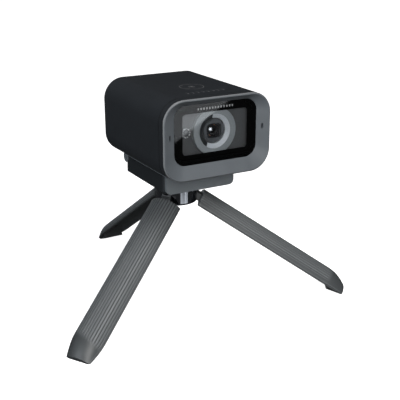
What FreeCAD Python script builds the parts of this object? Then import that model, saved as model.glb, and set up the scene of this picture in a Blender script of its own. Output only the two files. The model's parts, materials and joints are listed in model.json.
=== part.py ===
import FreeCAD, Part
import Sketcher
import math
import os
import re

# Webcam on a folding desk tripod.
#
# Frame: millimetres, +Z up, the lens looks along -Y, z = 0 is the surface that the
# three feet stand on, and the origin is below the middle of the whole object's box.
# The tripod's hub stands at (hub_x, hub_y), and the camera sits over it.

SIZES = {
    # longer than any cut has to reach
    "away": 40.0,
    # what a slot's end radius stays under half its width by
    "hair": 0.01,
    # where the hub's axis stands, and the camera over it
    "hub_x": -0.29, "hub_y": -22.84, "cam_base": 89.82, "front_reach": 52.04, "side_reach": 0.9,
    # camera housing
    "cam_wide": 68.0, "cam_tall": 45.5, "cam_deep": 79.6, "cam_round": 12.5, "skin": 1.8,
    "frame_deep": 5.5, "cover_deep": 6.0, "rim_bevel": 0.8, "back_round": 1.2,
    "dish_inset": 1.0, "tongue_deep": 2.5, "tongue_thick": 1.2, "slip": 0.1,
    # window: its centre height, outline, and the depth of its face behind the rim
    "window_z": 25.05, "window_wide": 52.2, "window_tall": 33.5, "window_round": 7.0,
    "window_deep": 3.1, "glass_thick": 0.85, "film_thick": 0.15, "seat_wide": 2.6,
    "clear_wide": 41.1, "clear_tall": 22.8, "clear_round": 2.0,
    # microphone slots
    "mic_x": 29.35, "mic_slot_wide": 1.1, "mic_slot_tall": 3.2, "mic_wide": 3.0,
    "mic_tall": 4.6, "mic_deep": 1.0,
    # lens surround; depths are measured from the rim's plane
    "lens_z": 25.3, "disc_out": 13.35, "disc_deep": 4.4, "funnel_out": 9.7,
    "funnel_in": 7.3, "funnel_deep": 5.6, "bezel_out": 6.5, "bezel_deep": 5.4,
    "bezel_wide": 9.1, "bezel_tall": 8.0, "bezel_round": 2.0,
    "status_x": -17.2, "status_z": 0.5, "status_out": 2.7, "status_in": 2.1, "status_thick": 0.6,
    "baffle_deep": 6.6, "baffle_thick": 1.0, "stand_x": 10.0, "stand_out": 1.5,
    # focus module
    "case_wide": 8.5, "case_deep": 6.7, "case_long": 4.2, "case_skin": 0.3, "case_hole": 3.4,
    "barrel_out": 3.1, "barrel_deep": 6.9, "barrel_long": 3.4, "barrel_bore": 2.4,
    "lens_dome": 5.0, "lens_thick": 0.9, "coil_out": 3.3, "coil_long": 2.0,
    "magnet_wide": 4.0, "magnet_thick": 0.4, "sensor_wide": 6.4, "sensor_tall": 5.6,
    "sensor_thick": 0.8, "filter_thick": 0.3, "sensor_case_long": 1.6,
    "coil_back": 0.8, "seat_step": 0.5, "light_path_step": 0.9, "funnel_long": 0.6, "back_seat": 1.0,
    "sensor_board_wide": 24.0, "sensor_board_tall": 16.0, "board_thick": 0.8,
    # main board and what it carries
    "main_z": 10.0, "main_thick": 1.2, "main_wide": 54.0, "main_front": 15.0, "main_long": 54.0,
    "post_x": 20.0, "post_front": 22.0, "post_back": 62.0, "post_out": 2.2, "pilot": 0.9,
    "chip_wide": 12.0, "chip_tall": 1.2, "chip_y": 34.0, "memory_x": -14.0, "memory_y": 36.0,
    "memory_wide": 8.0, "memory_deep": 10.0, "power_x": 13.0, "power_y": 52.0, "power_wide": 6.0,
    "sink_wide": 20.0, "sink_tall": 3.0, "sink_base": 1.0, "sink_y": 30.0, "fin_gap": 1.0,
    "ribbon_wide": 8.0, "ribbon_thick": 0.3, "ribbon_run": 8.0, "ribbon_lap": 3.0,
    "board_screw_long": 4.5, "mic_port": 0.4, "post_depth": 5.0,
    "usb_wide": 8.94, "usb_tall": 3.26, "usb_long": 8.0, "usb_skin": 0.3, "usb_gap": 0.25,
    "usb_inset": 0.5, "tongue_wide": 6.7, "tongue_long": 5.5, "tongue_tall": 0.7,
    # top of the housing
    "light_y": 14.5, "light_first": -11.0, "light_step": 3.2, "light_out": 0.55, "light_long": 3.0,
    "eye_x": 14.9, "eye_wide": 3.4, "eye_tall": 1.5, "touch_y": 31.0, "touch_wide": 17.0,
    "strip_x": 2.0, "strip_wide": 32.0, "strip_deep": 6.0,
    # housing screws and their bosses
    "boss_x": 27.5, "boss_low": 6.5, "boss_high": 39.0, "boss_out": 2.6, "boss_nose": 2.0,
    "boss_front": 58.0, "screw_out": 1.1, "head_out": 1.9, "head_thick": 1.2, "screw_long": 14.0,
    # clip under the camera
    "clip_wide": 44.8, "plate_thick": 2.5, "lip_front": 20.2, "lip_thick": 2.1, "clip_tall": 13.2,
    "lip_round": 3.2, "jaw_gap": 1.5, "foot_back": 75.0, "foot_gap": 0.3, "foot_round": 2.0,
    "pin_y": 75.3, "pin_drop": 4.0, "knuckle_out": 3.3, "knuckle_wide": 29.4, "ear_gap": 0.3,
    "clip_pin_out": 1.2, "run_gap": 0.05, "grip_wide": 36.0, "grip_long": 30.0, "grip_thick": 1.0,
    "lip_pad_thick": 0.6, "lip_pad_wide": 34.0, "lip_pad_tall": 6.0, "arm_screw_x": 12.0,
    "arm_screw_y": 45.0, "arm_screw_long": 5.5, "lip_pad_z": 5.0, "lip_pad_round": 1.5,
    "grip_round": 2.0, "pin_inset": 0.6, "web_drop": 0.7,
    # tripod screw and insert: a quarter inch camera thread
    "thread_out": 3.175, "thread_long": 6.4, "insert_out": 4.6, "insert_long": 7.0,
    # hub
    "hub_out": 12.8, "hub_low": 60.67, "hub_tall": 15.15, "hub_pad_thick": 0.8, "hub_round": 1.5,
    "hub_roof": 3.2, "well_out": 5.0, "screw_head_out": 4.7, "screw_head_long": 3.0, "cap_thick": 1.5,
    "pad_hole": 4.0, "hub_pad_inset": 0.4, "drive_wide": 1.2, "slot_reach": 12.0, "slot_drop": 8.0,
    # legs: which way each points, its slope when open, and its pivot in the hub
    "left_yaw": -148.8, "right_yaw": -30.5, "back_yaw": 91.9, "leg_slope": 33.25,
    "pivot_out": 9.51, "pivot_high": 66.15,
    # a leg's channel: from its pivot along and down to its end, then its bowed section
    "leg_start": 5.97, "leg_drop": 2.71, "leg_long": 109.9, "leg_half": 10.5, "leg_crown": 7.68,
    "leg_skin": 2.0, "nose_long": 14.0, "tip_half": 7.95, "tip_crown": 3.4, "end_wall": 1.5,
    "lug_out": 3.0, "lug_wide": 6.0, "lug_floor": 0.4, "lug_roof": 4.8, "lug_long": 12.0,
    "leg_pin_out": 1.5, "leg_pin_half": 6.0, "slot_gap": 0.4,
    "shoe_long": 10.5, "shoe_heel": 2.9, "shoe_toe": 0.7, "shoe_past": 0.2,
}
LIGHTS = 8
LEGS = ("left", "right", "back")

document = FreeCAD.newDocument("webcam_on_tripod")
sheet = document.addObject("Spreadsheet::Sheet", "Sizes")
for row, (alias, size) in enumerate(SIZES.items(), start=1):
    sheet.set("A%d" % row, alias)
    sheet.set("B%d" % row, str(size))
    sheet.setAlias("B%d" % row, alias)
document.recompute()

parts = []


# ---------------------------------------------------------------- helpers

def formula(text):
    """A formula over the sheet's aliases, as a FreeCAD expression."""
    def cell(word):
        return "Sizes." + word[0] if word[0] in SIZES else word[0]
    return re.sub(r"[a-z]\w*", cell, str(text))


def number(text):
    return float(sheet.evalExpression(formula(text)))


def bind(thing, **sizes):
    """Bind properties of an object to formulas over the sheet."""
    for name, text in sizes.items():
        thing.setExpression(name.replace("__", "."), formula(text))
    return thing


def put(thing, x="0", y="0", z="0", yaw="0", pitch="0", roll="0"):
    """Bind an object's place, and its turns about Z, Y and X in degrees."""
    place = "placement(vector(%s; %s; %s); rotation(%s; %s; %s))"
    thing.setExpression("Placement", place % tuple(formula(t) for t in (x, y, z, yaw, pitch, roll)))
    return thing


def box(x, y, z, wide, deep, tall):
    """A box, centred on x, that starts at y and z."""
    thing = document.addObject("Part::Box", "Block")
    bind(thing, Length=wide, Width=deep, Height=tall)
    return put(thing, "%s - (%s) / 2" % (x, wide), y, z)


def rod(x, y, z, radius, long, along="z"):
    """A cylinder from a centre of its start face, along an axis of the frame."""
    thing = document.addObject("Part::Cylinder", "Rod")
    bind(thing, Radius=radius, Height=long)
    turns = {"z": {}, "y": {"roll": "-90"}, "x": {"pitch": "90"}}[along]
    return put(thing, x, y, z, **turns)


def cone(x, y, z, start, end, long, along="z"):
    thing = document.addObject("Part::Cone", "Cone")
    bind(thing, Radius1=start, Radius2=end, Height=long)
    turns = {"z": {}, "y": {"roll": "-90"}, "x": {"pitch": "90"}}[along]
    return put(thing, x, y, z, **turns)


def ball(x, y, z, radius):
    return put(bind(document.addObject("Part::Sphere", "Ball"), Radius=radius), x, y, z)


def fuse(*pieces):
    thing = document.addObject("Part::MultiFuse", "Join")
    thing.Shapes = list(pieces)
    return thing


def cut(base, *tools):
    thing = document.addObject("Part::Cut", "Cut")
    thing.Base = base
    thing.Tool = tools[0] if len(tools) == 1 else fuse(*tools)
    return thing


def common(base, tool):
    thing = document.addObject("Part::Common", "Common")
    thing.Base = base
    thing.Tool = tool
    return thing


def group(*pieces):
    """Separate like solids that share one node."""
    thing = document.addObject("Part::Compound", "Group")
    thing.Links = list(pieces)
    return thing


def keep(label, thing, x="0", y="0", z="0", yaw="0", pitch="0"):
    """Name a finished sub-part and put its own frame in the object's frame."""
    if thing.TypeId in ("Part::Box", "Part::Cylinder", "Part::Cone"):
        thing = group(thing)
    thing.Label = label
    put(thing, x, y, z, yaw, pitch)
    parts.append(thing)
    return thing


def in_camera(label, thing):
    """The camera's frame: x from its middle, y back from its rim, z up from its underside."""
    return keep(label, thing, "hub_x - side_reach", "hub_y - front_reach", "cam_base")


def in_lens(label, thing):
    """The lens frame: the camera's, raised to the lens axis."""
    return keep(label, thing, "hub_x - side_reach", "hub_y - front_reach", "cam_base + lens_z")


def in_hub(label, thing):
    """The hub's frame: z up from the ground on the hub's axis."""
    return keep(label, thing, "hub_x", "hub_y", "0")


def in_leg(label, thing, side):
    """A leg's frame: origin on its pivot, x down the leg, z out of its crown."""
    yaw = side + "_yaw"
    return keep("%s_%s" % (label, side), thing, "hub_x + pivot_out * cos(1deg * %s)" % yaw,
                "hub_y + pivot_out * sin(1deg * %s)" % yaw, "pivot_high", yaw, "leg_slope")


# ---------------------------------------------------------------- sketched bodies

def new_body():
    return document.addObject("PartDesign::Body", "Body")


def new_sketch(body, plane, start):
    """A sketch on one of the body's origin planes, moved to a start depth or height."""
    sketch = body.newObject("Sketcher::SketchObject", "Sketch")
    origin = [o for o in body.Origin.OriginFeatures if o.Role == plane][0]
    sketch.AttachmentSupport = [(origin, "")]
    sketch.MapMode = "FlatFace"
    sign = "-" if plane == "XZ_Plane" else ""
    sketch.setExpression("AttachmentOffset.Base.z", formula("%s(%s)" % (sign, start)))
    return sketch


def pin_point(sketch, line, end, u, v):
    """Bind both coordinates of a line's end to formulas."""
    for kind, text, axis in (("DistanceX", u, -2), ("DistanceY", v, -1)):
        if abs(number(text)) < 1e-9:
            sketch.addConstraint(Sketcher.Constraint("PointOnObject", line, end, axis))
        else:
            place = sketch.addConstraint(Sketcher.Constraint(kind, -1, 1, line, end, number(text)))
            sketch.setExpression("Constraints[%d]" % place, formula(text))


def draw_outline(sketch, points):
    """A closed outline of straight lines through points given as pairs of formulas."""
    corners = [FreeCAD.Vector(number(u), number(v), 0) for u, v in points]
    ends = corners[1:] + corners[:1]
    lines = [sketch.addGeometry(Part.LineSegment(a, b), False) for a, b in zip(corners, ends)]
    for line, after in zip(lines, lines[1:] + lines[:1]):
        sketch.addConstraint(Sketcher.Constraint("Coincident", line, 2, after, 1))
    for line, (u, v) in zip(lines, points):
        pin_point(sketch, line, 1, u, v)


def draw_round_rect(sketch, wide, tall, corner, mid_v="0", mid_u="0"):
    """A rectangle with rounded corners, its sizes and middle bound to formulas."""
    half_u, half_v, radius = number(wide) / 2, number(tall) / 2, number(corner)
    middle = FreeCAD.Vector(number(mid_u), number(mid_v), 0)
    lines, arcs = [], []
    for quarter in range(4):
        turn = math.pi / 2 * quarter
        along, out = (half_u, half_v) if quarter % 2 == 0 else (half_v, half_u)
        spin = FreeCAD.Rotation(FreeCAD.Vector(0, 0, 1), math.degrees(turn))
        start = middle + spin.multVec(FreeCAD.Vector(radius - along, -out, 0))
        end = middle + spin.multVec(FreeCAD.Vector(along - radius, -out, 0))
        hub = middle + spin.multVec(FreeCAD.Vector(along - radius, radius - out, 0))
        circle = Part.Circle(hub, FreeCAD.Vector(0, 0, 1), radius)
        lines.append(sketch.addGeometry(Part.LineSegment(start, end), False))
        arcs.append(sketch.addGeometry(
            Part.ArcOfCircle(circle, turn - math.pi / 2, turn), False))
    for quarter in range(4):
        line, arc, after = lines[quarter], arcs[quarter], lines[(quarter + 1) % 4]
        sketch.addConstraint(Sketcher.Constraint("Tangent", line, 2, arc, 1))
        sketch.addConstraint(Sketcher.Constraint("Tangent", arc, 2, after, 1))
        sketch.addConstraint(Sketcher.Constraint(("Horizontal", "Vertical")[quarter % 2], line))
    for arc in arcs[1:]:
        sketch.addConstraint(Sketcher.Constraint("Equal", arcs[0], arc))
    size = sketch.addConstraint(Sketcher.Constraint("Radius", arcs[0], radius))
    sketch.setExpression("Constraints[%d]" % size, formula(corner))
    sides = (("DistanceX", lines[1], "%s + (%s) / 2" % (mid_u, wide)),
             ("DistanceX", lines[3], "%s - (%s) / 2" % (mid_u, wide)),
             ("DistanceY", lines[0], "%s - (%s) / 2" % (mid_v, tall)),
             ("DistanceY", lines[2], "%s + (%s) / 2" % (mid_v, tall)))
    for kind, line, text in sides:
        side = sketch.addConstraint(Sketcher.Constraint(kind, -1, 1, line, 1, number(text)))
        sketch.setExpression("Constraints[%d]" % side, formula(text))


def draw_bow(sketch, half, crown, floor):
    """A bow section: a straight chord at the floor height and an arc over it."""
    w, rise, low = number(half), number(crown), number(floor)
    radius = (w * w + rise * rise) / (2 * rise)
    middle = FreeCAD.Vector(0, low + rise - radius, 0)
    lean = math.asin(w / radius)
    circle = Part.Circle(middle, FreeCAD.Vector(0, 0, 1), radius)
    chord = sketch.addGeometry(Part.LineSegment(
        FreeCAD.Vector(-w, low, 0), FreeCAD.Vector(w, low, 0)), False)
    arc = sketch.addGeometry(Part.ArcOfCircle(
        circle, math.pi / 2 - lean, math.pi / 2 + lean), False)
    sketch.addConstraint(Sketcher.Constraint("Coincident", chord, 2, arc, 1))
    sketch.addConstraint(Sketcher.Constraint("Coincident", arc, 2, chord, 1))
    pin_point(sketch, chord, 1, "-(%s)" % half, floor)
    pin_point(sketch, chord, 2, half, floor)
    size = sketch.addConstraint(Sketcher.Constraint("Radius", arc, radius))
    sketch.setExpression("Constraints[%d]" % size, formula(
        "((%s)^2 + (%s)^2) / (2 * (%s))" % (half, crown, crown)))


def pad(body, sketch, long):
    """Grow a sketch back along +Y, up along +Z or along +X by its plane."""
    feature = body.newObject("PartDesign::Pad", "Pad")
    feature.Profile = sketch
    feature.Reversed = sketch.AttachmentSupport[0][0].Role == "XZ_Plane"
    return bind(feature, Length=long)


def slab(plane, start, thick, outline, holes=()):
    """A flat rounded plate on a plane, with rounded holes through it."""
    body = new_body()
    sketch = new_sketch(body, plane, start)
    for ring in (outline,) + tuple(holes):
        draw_round_rect(sketch, *ring)
    pad(body, sketch, thick)
    return body


def blend(plane, stations, draw):
    """A solid lofted through the sections that draw puts at each station."""
    body = new_body()
    sketches = []
    for start, section in stations:
        sketch = new_sketch(body, plane, start)
        draw(sketch, *section)
        sketches.append(sketch)
    loft = body.newObject("PartDesign::AdditiveLoft", "Loft")
    loft.Profile = sketches[0]
    loft.Sections = sketches[1:]
    loft.Ruled = len(stations) == 2
    return body


def turned(profile):
    """A ring or disc turned about the Y axis from points of depth and radius."""
    body = new_body()
    sketch = new_sketch(body, "YZ_Plane", "0")
    draw_outline(sketch, profile)
    spin = body.newObject("PartDesign::Revolution", "Revolution")
    spin.Profile = sketch
    spin.ReferenceAxis = (sketch, ["H_Axis"])
    spin.Angle = 360
    return body


def face_towards(feature, direction):
    """The name of the flat face that lies furthest along a direction."""
    document.recompute()
    faces = feature.Shape.Faces
    flat = [n for n, face in enumerate(faces) if isinstance(face.Surface, Part.Plane)]
    best = max(flat, key=lambda n: faces[n].CenterOfMass.dot(direction))
    return "Face%d" % (best + 1)


def soften(body, kind, direction, size):
    """Round or bevel the edges of the body's face that looks along a direction."""
    tip = body.Tip
    face = face_towards(tip, FreeCAD.Vector(*direction))
    feature = body.newObject("PartDesign::" + kind, kind)
    feature.Base = (tip, [face])
    return bind(feature, **{"Radius" if kind == "Fillet" else "Size": size})


# ---------------------------------------------------------------- camera housing

OUTLINE = ("cam_wide", "cam_tall", "cam_round", "cam_tall / 2")
INSIDE = ("cam_wide - 2 * skin", "cam_tall - 2 * skin", "cam_round - skin", "cam_tall / 2")
BOSSES = [(side + " * boss_x", height) for side in ("-1", "1") for height in ("boss_low", "boss_high")]
POSTS = [(side + " * post_x", y) for side in ("-1", "1") for y in ("post_front", "post_back")]


def shrunk(outline, by):
    """A rounded outline made smaller all round, about the same middle."""
    wide, tall, corner = ("%s - %s * (%s)" % (size, times, by)
                          for size, times in zip(outline[:3], (2, 2, 1)))
    return (wide, tall, corner) + tuple(outline[3:])


def front_frame():
    """Dished front frame: bevelled rim, sloping walls down to the window seat."""
    body = slab("XZ_Plane", "0", "frame_deep", OUTLINE)
    soften(body, "Chamfer", (0, -1, 0), "rim_bevel")
    tongue = slab("XZ_Plane", "frame_deep", "tongue_deep", shrunk(INSIDE, "slip"),
                  [shrunk(INSIDE, "slip + tongue_thick")])
    window = ("window_wide", "window_tall", "window_round", "window_z")
    dish = blend("XZ_Plane", [("0", shrunk(OUTLINE, "dish_inset")), ("window_deep", window)],
                 draw_round_rect)
    seat = slab("XZ_Plane", "window_deep", "glass_thick + film_thick", window)
    opening = slab("XZ_Plane", "window_deep", "frame_deep", shrunk(window, "seat_wide"))
    slots = [slab("XZ_Plane", "0", "frame_deep", ("mic_slot_wide", "mic_slot_tall",
                  "mic_slot_wide / 2 - hair", "lens_z", side + " * mic_x")) for side in ("-1", "1")]
    in_camera("front_frame", cut(fuse(body, tongue), dish, seat, opening, *slots))


def main_casing():
    """Tube of the housing, with screw bosses, board posts and holes in its top."""
    tube = slab("XZ_Plane", "frame_deep", "cam_deep - frame_deep - cover_deep", OUTLINE, [INSIDE])
    joint_y = "cam_deep - cover_deep"
    bosses, pilots = [], []
    for x, z in BOSSES:
        bosses.append(rod(x, "boss_front", z, "boss_out", "%s - boss_front" % joint_y, "y"))
        bosses.append(rod(x, joint_y, z, "boss_nose", "cover_deep - skin", "y"))
        pilots.append(rod(x, "cam_deep - skin - screw_long", z, "screw_out", "screw_long", "y"))
    for x, y in POSTS:
        bosses.append(rod(x, y, "skin - slip", "post_out", "main_z - skin + slip"))
        pilots.append(rod(x, y, "main_z - post_depth", "pilot", "post_depth"))
    for side in ("-1", "1"):
        spot = (side + " * arm_screw_x", "arm_screw_y")
        bosses.append(rod(*spot, "skin - slip", "boss_out", "post_depth"))
        pilots.append(rod(*spot, "-skin", "screw_out", "skin + post_depth"))
    holes = [rod("light_first + %d * light_step" % n, "light_y", "cam_tall - 2 * skin",
                 "light_out", "3 * skin") for n in range(LIGHTS)]
    eye = slab("XY_Plane", "cam_tall - 2 * skin", "3 * skin",
               ("eye_wide", "eye_tall", "eye_tall / 2 - hair", "light_y", "eye_x"))
    in_camera("main_casing", cut(fuse(tube, *bosses), eye, *holes, *pilots))


def rear_cover():
    """Rounded back of the housing, with the socket's opening and the screw holes."""
    body = slab("XZ_Plane", "cam_deep - cover_deep", "cover_deep", OUTLINE)
    soften(body, "Fillet", (0, 1, 0), "back_round")
    hollow = slab("XZ_Plane", "cam_deep - cover_deep", "cover_deep - skin", INSIDE)
    port = slab("XZ_Plane", "cam_deep - cover_deep", "2 * cover_deep",
                ("usb_wide + 2 * usb_gap", "usb_tall + 2 * usb_gap", "usb_tall / 2",
                 "main_z + main_thick + usb_tall / 2"))
    holes = [rod(x, "cam_deep - cover_deep", z, "screw_out", "2 * cover_deep", "y") for x, z in BOSSES]
    heads = [rod(x, "cam_deep - head_thick", z, "head_out", "2 * cover_deep", "y") for x, z in BOSSES]
    in_camera("rear_cover", cut(body, hollow, port, *holes, *heads))


def screw(x, y, z, head, shank, long, along, flip=False):
    """A screw with a slotted flat head, its head at the start of its axis."""
    head_rod = rod(x, y, z, head, "head_thick", along)
    if along == "y":
        start = "%s - (%s)" % (y, long)
        return fuse(head_rod, rod(x, start, z, shank, long, along))
    start = "%s + head_thick" % z if not flip else "%s - (%s)" % (z, long)
    return fuse(head_rod, rod(x, y, start, shank, long, along))


def housing_screws():
    in_camera("rear_screws", group(*[screw(x, "cam_deep - head_thick", z, "head_out", "screw_out",
              "screw_long - head_thick", "y") for x, z in BOSSES]))
    in_camera("board_screws", group(*[screw(x, y, "main_z + main_thick", "head_out", "pilot",
              "board_screw_long", "z", flip=True) for x, y in POSTS]))


def window():
    outline = shrunk(("window_wide", "window_tall", "window_round", "window_z"), "slip")
    in_camera("cover_glass", slab("XZ_Plane", "window_deep", "glass_thick", outline))
    clear = ("clear_wide", "clear_tall", "clear_round", "lens_z")
    in_camera("window_border", slab("XZ_Plane", "window_deep + glass_thick", "film_thick",
              outline, [clear]))


def top_controls():
    lights = [rod("light_first + %d * light_step" % n, "light_y", "cam_tall - light_long",
                  "light_out", "light_long") for n in range(LIGHTS)]
    in_camera("indicator_lights", group(*lights))
    in_camera("top_sensor_window", slab("XY_Plane", "cam_tall - light_long", "light_long",
              ("eye_wide", "eye_tall", "eye_tall / 2 - hair", "light_y", "eye_x")))
    in_camera("indicator_board", box("strip_x", "light_y - strip_deep / 2",
              "cam_tall - light_long - board_thick", "strip_wide", "strip_deep", "board_thick"))
    in_camera("touch_sensor", box("0", "touch_y - touch_wide / 2", "cam_tall - skin - film_thick",
              "touch_wide", "touch_wide", "film_thick"))


# ---------------------------------------------------------------- lens and sensor

def lens_surround():
    """What shows behind the window: baffle, disc, bright funnel ring and inner bezel."""
    hole = ("case_wide + 3 * slip", "case_wide + 3 * slip", "5 * slip", "lens_z")
    plate = slab("XZ_Plane", "baffle_deep", "baffle_thick",
                 shrunk(INSIDE, "2 * slip + tongue_thick"), [hole])
    stands = [rod(side + " * stand_x", "baffle_deep", "lens_z", "stand_out",
                  "case_deep + case_long + sensor_case_long - baffle_deep", "y") for side in ("-1", "1")]
    in_camera("lens_baffle", fuse(plate, *stands))
    in_lens("lens_disc", turned([("disc_deep", "disc_out"), ("baffle_deep", "disc_out"),
            ("baffle_deep", "funnel_out"), ("disc_deep", "funnel_out")]))
    in_lens("funnel_ring", turned([("disc_deep", "funnel_out"), ("baffle_deep", "funnel_out"),
            ("baffle_deep", "funnel_in"), ("funnel_deep", "funnel_in")]))
    plug = rod("0", "bezel_deep", "0", "bezel_out", "baffle_deep - bezel_deep", "y")
    mouth = slab("XZ_Plane", "0", "2 * baffle_deep",
                 ("bezel_wide", "bezel_tall", "bezel_round"))
    in_lens("inner_bezel", cut(plug, mouth))
    glow = rod("status_x", "baffle_deep - status_thick", "status_z", "status_out", "status_thick", "y")
    core = rod("status_x", "baffle_deep - 2 * status_thick", "status_z", "status_in",
               "3 * status_thick", "y")
    in_lens("status_light", cut(glow, core))


def focus_module():
    """Fixed case and magnets, and the barrel with its lenses and coil that slides in them."""
    inner = "case_wide - 2 * case_skin"
    case = box("0", "case_deep", "-case_wide / 2", "case_wide", "case_long", "case_wide")
    hollow = box("0", "case_deep + case_skin", "-(%s) / 2" % inner, inner, "case_long", inner)
    mouth = rod("0", "case_deep - case_skin", "0", "case_hole", "3 * case_skin", "y")
    in_lens("focus_case", cut(case, hollow, mouth))
    magnets = []
    for turn in range(4):
        bar = box("0", "barrel_deep + coil_back", "(%s) / 2 - magnet_thick" % inner, "magnet_wide",
                  "coil_long", "magnet_thick")
        magnets.append(put(group(bar), roll="0", pitch="%d" % (90 * turn)))
    in_lens("focus_magnets", group(*magnets))
    barrel = rod("0", "barrel_deep", "0", "barrel_out", "barrel_long", "y")
    small_bore = "barrel_bore - seat_step"
    funnel = cone("0", "barrel_deep", "0", "barrel_bore", small_bore, "funnel_long", "y")
    front_seat = rod("0", "barrel_deep + funnel_long", "0", small_bore, "lens_thick", "y")
    light_path = rod("0", "barrel_deep", "0", "barrel_bore - light_path_step", "2 * barrel_long", "y")
    barrel_end = "barrel_deep + barrel_long"
    back_seat = rod("0", barrel_end + " - back_seat", "0", "barrel_bore", "2 * back_seat", "y")
    in_lens("lens_barrel", cut(barrel, funnel, front_seat, light_path, back_seat))
    front = "barrel_deep + funnel_long - 2 * slip"
    blank = rod("0", front, "0", small_bore, "lens_thick + 2 * slip", "y")
    in_lens("front_lens", common(blank, ball("0", front + " + lens_dome", "0", "lens_dome")))
    blank = rod("0", barrel_end + " - back_seat", "0", "barrel_bore", "back_seat - slip", "y")
    dome = ball("0", barrel_end + " - slip - lens_dome", "0", "lens_dome")
    in_lens("rear_lens", common(blank, dome))
    coil = rod("0", "barrel_deep + coil_back", "0", "coil_out", "coil_long", "y")
    core = rod("0", "barrel_deep", "0", "barrel_out", "2 * coil_long", "y")
    in_lens("focus_coil", cut(coil, core))


def image_sensor():
    start = "case_deep + case_long"
    back = "%s + sensor_case_long" % start
    holder = box("0", start, "-case_wide / 2", "case_wide", "sensor_case_long", "case_wide")
    window_hole = box("0", start, "-sensor_tall / 2 - slip", "sensor_wide + 2 * slip",
                      "2 * sensor_case_long", "sensor_tall + 2 * slip")
    in_lens("sensor_holder", cut(holder, window_hole))
    in_lens("infrared_filter", box("0", start, "-sensor_tall / 2", "sensor_wide", "filter_thick",
            "sensor_tall"))
    in_lens("image_sensor", box("0", back + " - sensor_thick", "-sensor_tall / 2", "sensor_wide",
            "sensor_thick", "sensor_tall"))
    in_lens("sensor_board", box("0", back, "-sensor_board_tall / 2", "sensor_board_wide",
            "board_thick", "sensor_board_tall"))


# ---------------------------------------------------------------- electronics

def electronics():
    top = "main_z + main_thick"
    board = box("0", "main_front", "main_z", "main_wide", "main_long", "main_thick")
    holes = [rod(x, y, "main_z - main_thick", "pilot", "3 * main_thick") for x, y in POSTS]
    in_camera("main_board", cut(board, *holes))
    chips = [box("0", "chip_y", top, "chip_wide", "chip_wide", "chip_tall"),
             box("memory_x", "memory_y", top, "memory_wide", "memory_deep", "chip_tall"),
             box("power_x", "power_y", top, "power_wide", "power_wide", "chip_tall")]
    in_camera("board_chips", group(*chips))
    plate = box("0", "sink_y", top + " + chip_tall", "sink_wide", "sink_wide", "sink_tall")
    grooves = [box("%d * fin_gap" % place, "sink_y - fin_gap", top + " + chip_tall + sink_base",
                   "fin_gap", "sink_wide + 2 * fin_gap", "sink_tall") for place in range(-8, 9, 2)]
    in_camera("heat_sink", cut(plate, *grooves))
    middle = top + " + usb_tall / 2"
    floor = "cam_deep - usb_long + usb_inset"
    shell = slab("XZ_Plane", "cam_deep - usb_long - usb_inset", "usb_long",
                 ("usb_wide", "usb_tall", "usb_tall / 2 - hair", middle))
    mouth = slab("XZ_Plane", floor, "usb_long", ("usb_wide - 2 * usb_skin", "usb_tall - 2 * usb_skin",
                 "usb_tall / 2 - usb_skin - hair", middle))
    in_camera("usb_socket", cut(shell, mouth))
    in_camera("usb_tongue", box("0", floor, middle + " - tongue_tall / 2", "tongue_wide",
              "tongue_long", "tongue_tall"))
    mics = [box(side + " * mic_x", "frame_deep", "lens_z - mic_tall / 2", "mic_wide", "mic_deep",
                "mic_tall") for side in ("-1", "1")]
    ports = [rod(side + " * mic_x", "frame_deep - mic_deep", "lens_z", "mic_port", "3 * mic_deep", "y")
             for side in ("-1", "1")]
    in_camera("microphones", cut(group(*mics), *ports))
    back = "case_deep + case_long + sensor_case_long + board_thick"
    rise = "lens_z - sensor_board_tall / 2 + ribbon_lap - (%s)" % top
    drop = box("0", back, top, "ribbon_wide", "ribbon_thick", rise)
    run = box("0", back, top, "ribbon_wide", "ribbon_run", "ribbon_thick")
    in_camera("sensor_ribbon", fuse(drop, run))


# ---------------------------------------------------------------- clip

def clip_arm():
    """Plate under the camera with its hanging lip in front and two hinge ears behind."""
    plate = box("0", "lip_front", "-plate_thick", "clip_wide", "pin_y - lip_front", "plate_thick")
    lip = slab("XZ_Plane", "lip_front", "lip_thick", ("clip_wide", "clip_tall", "lip_round",
               "-clip_tall / 2"))
    square = box("0", "lip_front", "-plate_thick", "clip_wide", "lip_thick", "plate_thick")
    barrel = rod("-clip_wide / 2", "pin_y", "-pin_drop", "knuckle_out", "clip_wide", "x")
    web = box("0", "pin_y - knuckle_out", "-pin_drop", "clip_wide", "knuckle_out",
              "pin_drop - web_drop")
    inner = "knuckle_wide + 2 * ear_gap"
    gap = box("0", "pin_y - knuckle_out - foot_gap - slip", "-clip_tall", inner, "away", "clip_tall")
    bore = rod("-clip_wide", "pin_y", "-pin_drop", "clip_pin_out", "2 * clip_wide", "x")
    holes, heads = [], []
    for side in ("-1", "1"):
        spot = (side + " * arm_screw_x", "arm_screw_y")
        holes.append(rod(*spot, "-2 * plate_thick", "screw_out", "4 * plate_thick"))
        heads.append(rod(*spot, "-2 * plate_thick", "head_out", "plate_thick + head_thick"))
    in_camera("clip_arm", cut(fuse(plate, lip, square, barrel, web), gap, bore, *holes, *heads))
    in_camera("arm_screws", group(*[screw(side + " * arm_screw_x", "arm_screw_y", "-plate_thick",
              "head_out", "screw_out", "arm_screw_long", "z") for side in ("-1", "1")]))
    in_camera("lip_pad", slab("XZ_Plane", "lip_front + lip_thick", "lip_pad_thick",
              ("lip_pad_wide", "lip_pad_tall", "lip_pad_round", "lip_pad_z - clip_tall")))
    in_camera("clip_pin", rod("-clip_wide / 2 + pin_inset", "pin_y", "-pin_drop", "clip_pin_out",
              "clip_wide - 2 * pin_inset", "x"))


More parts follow.
